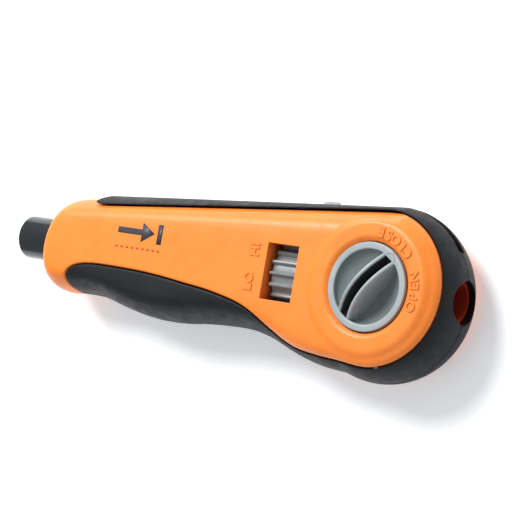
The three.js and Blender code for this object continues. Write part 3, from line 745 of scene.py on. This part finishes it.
def impact_dial():
    """Grey wheel with 18 raised ribs."""
    ribs, samples = 18, 16
    root, tip = 8.4, 9.7
    turn = np.arange(ribs * samples) % samples
    off = np.minimum(turn, samples - turn) * 360 / ribs / samples
    ribbed = root + (tip - root) * smooth_step((3.6 - off) / 1.6)
    stations = [(-45.3, 0), (-45.3, 2.7), (-45.0, 3), (-33.3, 3), (-33.3, ribbed - 0.25), (-33.1, ribbed)]
    stations += [(-24.6, ribbed), (-24.4, ribbed - 0.25), (-24.4, 4), (-21.5, 4), (-21.2, 3.7), (-21.2, 0)]
    return turned(stations, ribs * samples)


dial = material_mesh("impact_dial_wheel", *impact_dial(), dial_grey, "dial", sharp=50)
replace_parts(dial, "impact_dial")


# ---------- storage knob ----------

KNOB_RADIUS = 12.0
KNOB_TOP = 11.9
BOWL_RADIUS = 10.2
BOWL_FLOOR = 8.2
FIN_HALF_LENGTH = 10.0
FIN_RISE = 4.1
FIN_SPACING = 3.6
KNOB_REST = 56


def knob_dish():
    """Round knob with its flange, its flat rim and its shallow bowl."""
    rim = [(11.2, 7), (11.2, 7.6), (13.2, 7.6), (13.2, 9.3), (KNOB_RADIUS, 9.3), (KNOB_RADIUS, KNOB_TOP)]
    rim = rounded(rim + [(BOWL_RADIUS, KNOB_TOP), (BOWL_RADIUS - 0.25, KNOB_TOP - 0.7)], 0.3)
    angles = np.linspace(math.pi / 2, 0, 24)[2:]
    bowl = [(BOWL_RADIUS * math.sin(a), BOWL_FLOOR + 3.2 * (1 - math.cos(a))) for a in angles]
    return turned_z([(0, 7), *rim, *bowl], 120)


def knob_fin(offset):
    """Arched wall across the bowl, thicker at its foot, with a rounded crest."""
    along = np.linspace(-FIN_HALF_LENGTH, FIN_HALF_LENGTH, 49)
    crest = KNOB_TOP - 0.05 + FIN_RISE * (1 - (along / FIN_HALF_LENGTH) ** 2)
    bend = np.linspace(0, math.pi, 9)
    half, foot = 0.6, 0.95
    across = np.concatenate([[foot], half * np.cos(bend), [-foot]])
    points = []
    for x, top in zip(along, crest):
        rise = np.concatenate([[BOWL_FLOOR - 0.6], top - half + half * np.sin(bend), [BOWL_FLOOR - 0.6]])
        points.append(np.column_stack([np.full(len(rise), x), across + offset, rise]))
    count = len(across)
    faces = [tuple(range(count))[::-1], tuple(range(48 * count, 49 * count))]
    for k in range(48):
        for i in range(count):
            j = (i + 1) % count
            faces.append((k * count + i, k * count + j, (k + 1) * count + j, (k + 1) * count + i))
    return placed((np.vstack(points), faces), KNOB_REST)


def knob_gate():
    """Skirt sector that shuts the blade store."""
    half = math.radians(29)
    outline = np.vstack([arc((0, 0), 11.2, -half, half, 20), arc((0, 0), 9.6, half, -half, 20)])
    return plate([outline], -5.4, 7.2)


def knob_arrow():
    """Small raised triangle on the ring, with a sunken middle and a ridge along its base."""
    outer = rounded([(10.45, -2.2), (11.85, 0), (10.45, 2.2)], 0.15, closed=True, steps=2)
    middle = (outer - outer.mean(0)) * 0.62 + outer.mean(0)
    ridge = np.array([(10.0, -3.1), (10.3, -3.1), (10.3, 3.1), (10.0, 3.1)])
    triangle = plate([outer, middle[::-1]], KNOB_TOP - 0.2, KNOB_TOP + 0.18)
    return placed(combined(triangle, plate([ridge], KNOB_TOP - 0.6, KNOB_TOP + 0.15)), KNOB_REST)


def storage_knob():
    """The whole knob, with painted shade: a darker bowl and a still darker slot between its fins."""
    offsets = (-FIN_SPACING / 2, FIN_SPACING / 2)
    parts = combined(knob_dish(), knob_gate(), knob_arrow(), *[knob_fin(offset) for offset in offsets])
    piece = material_mesh("storage_knob_moulded", *parts, grey, "knob", sharp=SHARP)
    piece.data.materials.append(bowl_painted_shade)
    piece.data.materials.append(slot_painted_shade)
    rest = math.radians(KNOB_REST)
    # Painted shade: bowl faces get the darker grey, and faces in the slot between the fins the darkest
    # grey.
    for face in piece.data.polygons:
        x, y, z = np.array(face.center) / MM - ORIGIN / MM
        across = abs(y * math.cos(rest) - x * math.sin(rest))
        if math.hypot(x, y) > BOWL_RADIUS - 0.05 or z < 7.5:
            continue
        if across < FIN_SPACING / 2 - 0.4 and (abs(face.normal.z) < 0.35 or z < KNOB_TOP - 0.45):
            face.material_index = 2
        elif across > FIN_SPACING / 2 + 1 and z < KNOB_TOP - 0.45:
            face.material_index = 1
    return piece


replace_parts(storage_knob(), "storage_knob")


# ---------- fold-out hook and spudger ----------

FOLD_PIVOT = (11.5, 14.5)
LEAF_REST = 173.5
LEAF_HALF_WIDTH = 2.2


def leaf_outline(tip):
    """Flat leaf along +X from its pivot, with a nail nub near its end; tip closes the outline."""
    eye = arc((0, 0), 3.2, 0.75, 2 * math.pi - 0.75, 40)
    nub = [(32, -LEAF_HALF_WIDTH), (33.2, -LEAF_HALF_WIDTH - 1.9), (37, -LEAF_HALF_WIDTH - 1.0),
           (37, -LEAF_HALF_WIDTH)]
    return np.vstack([eye, nub, tip])


def fold_leaf(name, tip, z, body, node):
    hole = arc((0, 0), 1.65, 2 * math.pi, 2 * math.pi / 32, 32)
    leaf = placed(plate([leaf_outline(tip), hole], 0, 1.15), LEAF_REST, (*FOLD_PIVOT, z))
    piece = material_mesh(name, *leaf, stamped, body, sharp=35)
    edge = piece.modifiers.new("edges", "BEVEL")
    edge.width = 0.14 * MM
    edge.segments = 2
    edge.limit_method = "ANGLE"
    edge.angle_limit = math.radians(60)
    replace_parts(piece, node)


hook_notch = arc((35, 0.9), 1.3, 0.2, -math.pi, 14)
hook_tip = np.vstack([[(38.6, -0.6), (38.2, 2.2), (36.6, 2.2)], hook_notch, [(33.4, 2.2)]])
fold_leaf("wire_hook_leaf", hook_tip, 0.15, "hook", "wire_hook")
fold_leaf("spudger_leaf", [(38.8, -1.2), (38.1, 0), (38.8, 1.2), (34, 2.2)], -1.3, "spudger", "spudger")


# ---------- springs ----------

def coil(length, radius, wire, turns):
    """Spring round X from 0 to length, with closed end turns."""
    t = np.linspace(0, 1, int(turns * 36))
    lead = (length - 2 * wire) * t
    angles = 2 * math.pi * turns * t
    centre = np.column_stack([lead + wire, radius * np.cos(angles), radius * np.sin(angles)])
    ring = np.column_stack([np.zeros(len(t)), np.cos(angles), np.sin(angles)])
    sides = np.arange(10) * 2 * math.pi / 10
    points = [centre + wire * (math.cos(a) * ring + math.sin(a) * np.array((1, 0, 0))) for a in sides]
    points = np.stack(points, axis=1).reshape(-1, 3)
    faces = [tuple(range(10)), tuple(range(len(points) - 10, len(points)))[::-1]]
    for k in range(len(t) - 1):
        for i in range(10):
            j = (i + 1) % 10
            faces.append((k * 10 + j, k * 10 + i, (k + 1) * 10 + i, (k + 1) * 10 + j))
    return points, faces


def springs():
    """The three springs; the two that shorten with the hammer's and the latch's travel get meshes of their
    own.
    """
    points, faces = coil(30, 7, 0.9, 8)
    main = material_mesh("hammer_spring_coil", points + (-71.6, 0, 0), faces, spring_steel, "housing")
    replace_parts(main, "hammer_spring")
    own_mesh(main)

    points, faces = coil(9.4, 4.6, 0.5, 4)
    back = material_mesh("return_spring_coil", points + (-105.7, 0, 0), faces, spring_steel, "plunger")
    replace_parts(back, "return_spring")

    points, faces = coil(3.6, 1, 0.25, 3)
    points = points[:, [2, 1, 0]] + (-90.5, 0, 3.8)
    faces = [face[::-1] for face in faces]
    small = material_mesh("latch_spring_coil", points, faces, spring_steel, "hammer")
    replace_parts(small, "latch_spring")
    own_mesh(small)


springs()


# ---------- screws ----------

def screw(number):
    """Pan head with a cross recess, facing the back."""
    low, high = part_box(f"housing_screw_{number}")
    x, y = ((np.array(low) + np.array(high)) / 2 - ORIGIN)[:2] / MM
    head = (low[2] - ORIGIN[2]) / MM
    tip = (high[2] - ORIGIN[2]) / MM
    a, b = 1.25, 0.3
    cross = np.array([(-a, -b), (-b, -b), (-b, -a), (b, -a), (b, -b), (a, -b), (a, b), (b, b), (b, a),
                      (-b, a), (-b, b), (-a, b)])
    top = plate([circle(1.7, 0.3), cross[::-1]], head, head + 0.9)
    shell = turned_z(rounded([(1.65, head), (2.1, head + 0.6), (2.1, head + 1.6), (1, head + 1.6), (1, tip),
                              (0, tip)], 0.15), 48)
    recess = plate([circle(1.72, 0.3)], head + 0.85, head + 1.2)
    points, faces = combined(top, shell, recess)
    piece = material_mesh(f"housing_screw_{number}_head", points + (x, y, 0), faces, screw_steel, sharp=35)
    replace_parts(piece, f"housing_screw_{number}")


for number in range(1, 6):
    screw(number)


# ---------- marks ----------

def word(text, size):
    """Flat raised lettering in the built-in font, centred on the origin, in millimetres."""
    curve = bpy.data.curves.new(text, "FONT")
    curve.body = text
    curve.size = size
    curve.align_x = "CENTER"
    curve.align_y = "CENTER"
    curve.extrude = 0.28
    curve.offset = 0.05
    curve.bevel_depth = 0.04
    holder = bpy.data.objects.new(text, curve)
    bpy.context.scene.collection.objects.link(holder)
    bpy.context.view_layer.update()
    mesh = holder.evaluated_get(bpy.context.evaluated_depsgraph_get()).to_mesh()
    points = np.array([tuple(v.co) for v in mesh.vertices])
    faces = [tuple(face.vertices) for face in mesh.polygons]
    bpy.data.objects.remove(holder)
    bpy.data.curves.remove(curve)
    return points, faces


def raised_words():
    """Generic words that say which way the dial and the knob turn."""
    parts = []
    for text, x, y in (("HI", -37.9, 5.6), ("LO", -38.5, -3.3)):
        parts.append(placed(word(text, 4.1), 90, (x, y, FACE_Z)))
    for text, start, step in (("CLOSE", 43, 9.6), ("OPEN", -13, 10)):
        for k, letter in enumerate(text):
            at = start + k * step
            radians = math.radians(at)
            spot = (15.1 * math.cos(radians), 15.1 * math.sin(radians), BOSS_Z)
            parts.append(placed(word(letter, 3.7), at + 90, spot))
    return combined(*parts)


def printed_mark():
    """Plain pictogram: a blade pressed down on a row of contacts."""
    arrow = np.array([(-88, 4.8), (-79, 4.8), (-79, 2.8), (-74.2, 5.7), (-79, 8.6), (-79, 6.6), (-88, 6.6)])
    bar = np.array([(-73.2, 2.8), (-71.4, 2.8), (-71.4, 8.6), (-73.2, 8.6)])
    return combined(*[plate([outline], FACE_Z - 0.02, FACE_Z + 0.03) for outline in (arrow, bar)])


def printed_dashes():
    starts = np.linspace(-88, -72.4, 9)
    outlines = [rectangle((x, x + 0.9), (0.6, 1.2), 0.3) for x in starts]
    return combined(*[plate([outline], FACE_Z - 0.02, FACE_Z + 0.03) for outline in outlines])


material_mesh("raised_words", *raised_words(), orange, sharp=30)
material_mesh("printed_mark", *printed_mark(), ink)
material_mesh("printed_dashes", *printed_dashes(), red_ink)

CARRIED_OVER = {
    "nose_bush": bronze,
    "spring_seat": bronze,
    "blade_clip_ring": spring_steel,
    "knob_washer": spring_steel,
    "knob_detent_leaf": spring_steel,
    "hammer": machined,
    "latch_plate": machined,
    "dial_thrust_washer": machined,
    "fold_pivot_pin": machined,
}
for name, material in CARRIED_OVER.items():
    node = frame["nodes"][name]
    node.data.materials.clear()
    node.data.materials.append(material)


# ---------- floor, light and camera ----------

def camera():
    """Looks at the middle of the front face from above its rear end."""
    target = np.array((-41.6, 1.9, 0)) * MM + ORIGIN
    azimuth, elevation, roll = (math.radians(a) for a in (-3.27, 54.21, -77.38))
    distance = 530.7 * MM
    lens = bpy.data.cameras.new("camera")
    lens.sensor_width = 36
    lens.lens = 127.5
    lens.clip_start = 0.01
    view = bpy.data.objects.new("camera", lens)
    bpy.context.scene.collection.objects.link(view)
    swing = Matrix.Rotation(azimuth + math.pi / 2, 4, "Z")
    tilt = Matrix.Rotation(math.pi / 2 - elevation, 4, "X")
    turn = swing @ tilt @ Matrix.Rotation(roll, 4, "Z")
    away = turn.to_3x3() @ Vector((0, 0, distance))
    view.matrix_world = Matrix.Translation(Vector(target) + away) @ turn
    bpy.context.scene.camera = view


def floor():
    """Plain white paper that the tool lies on, a little brighter than the light alone would make it."""
    mesh = bpy.data.meshes.new("floor")
    reach, low = 3.0, -0.0004
    corners = [(-reach, -reach, low), (reach, -reach, low), (reach, reach, low), (-reach, reach, low)]
    mesh.from_pydata(corners, [], [(0, 1, 2, 3)])
    ground = bpy.data.objects.new("floor", mesh)
    bpy.context.scene.collection.objects.link(ground)
    mesh.materials.append(surface(
        "floor_paper", (0.93, 0.94, 0.95), 0.9, vary=0.01, wear=0.0,
        Emission_Color=(0.95, 0.97, 1, 1), Emission_Strength=0.3))


def area_light(name, place, size, power):
    lamp = bpy.data.lights.new(name, "AREA")
    lamp.shape = "DISK"
    lamp.size = size
    lamp.energy = power
    light = bpy.data.objects.new(name, lamp)
    bpy.context.scene.collection.objects.link(light)
    light.location = place
    light.rotation_euler = Vector(place).to_track_quat("Z", "Y").to_euler()


def sky(strength):
    world = bpy.data.worlds.new("studio")
    world.use_nodes = True
    world.node_tree.nodes["Background"].inputs["Color"].default_value = (0.97, 0.98, 1, 1)
    world.node_tree.nodes["Background"].inputs["Strength"].default_value = strength
    bpy.context.scene.world = world


camera()
floor()
area_light("key", (-0.4, 0.6, 0.8), 0.6, 15)
area_light("fill", (-0.1, -0.5, 0.9), 0.8, 1.2)
sky(0.42)
bpy.context.scene.view_settings.view_transform = "Standard"
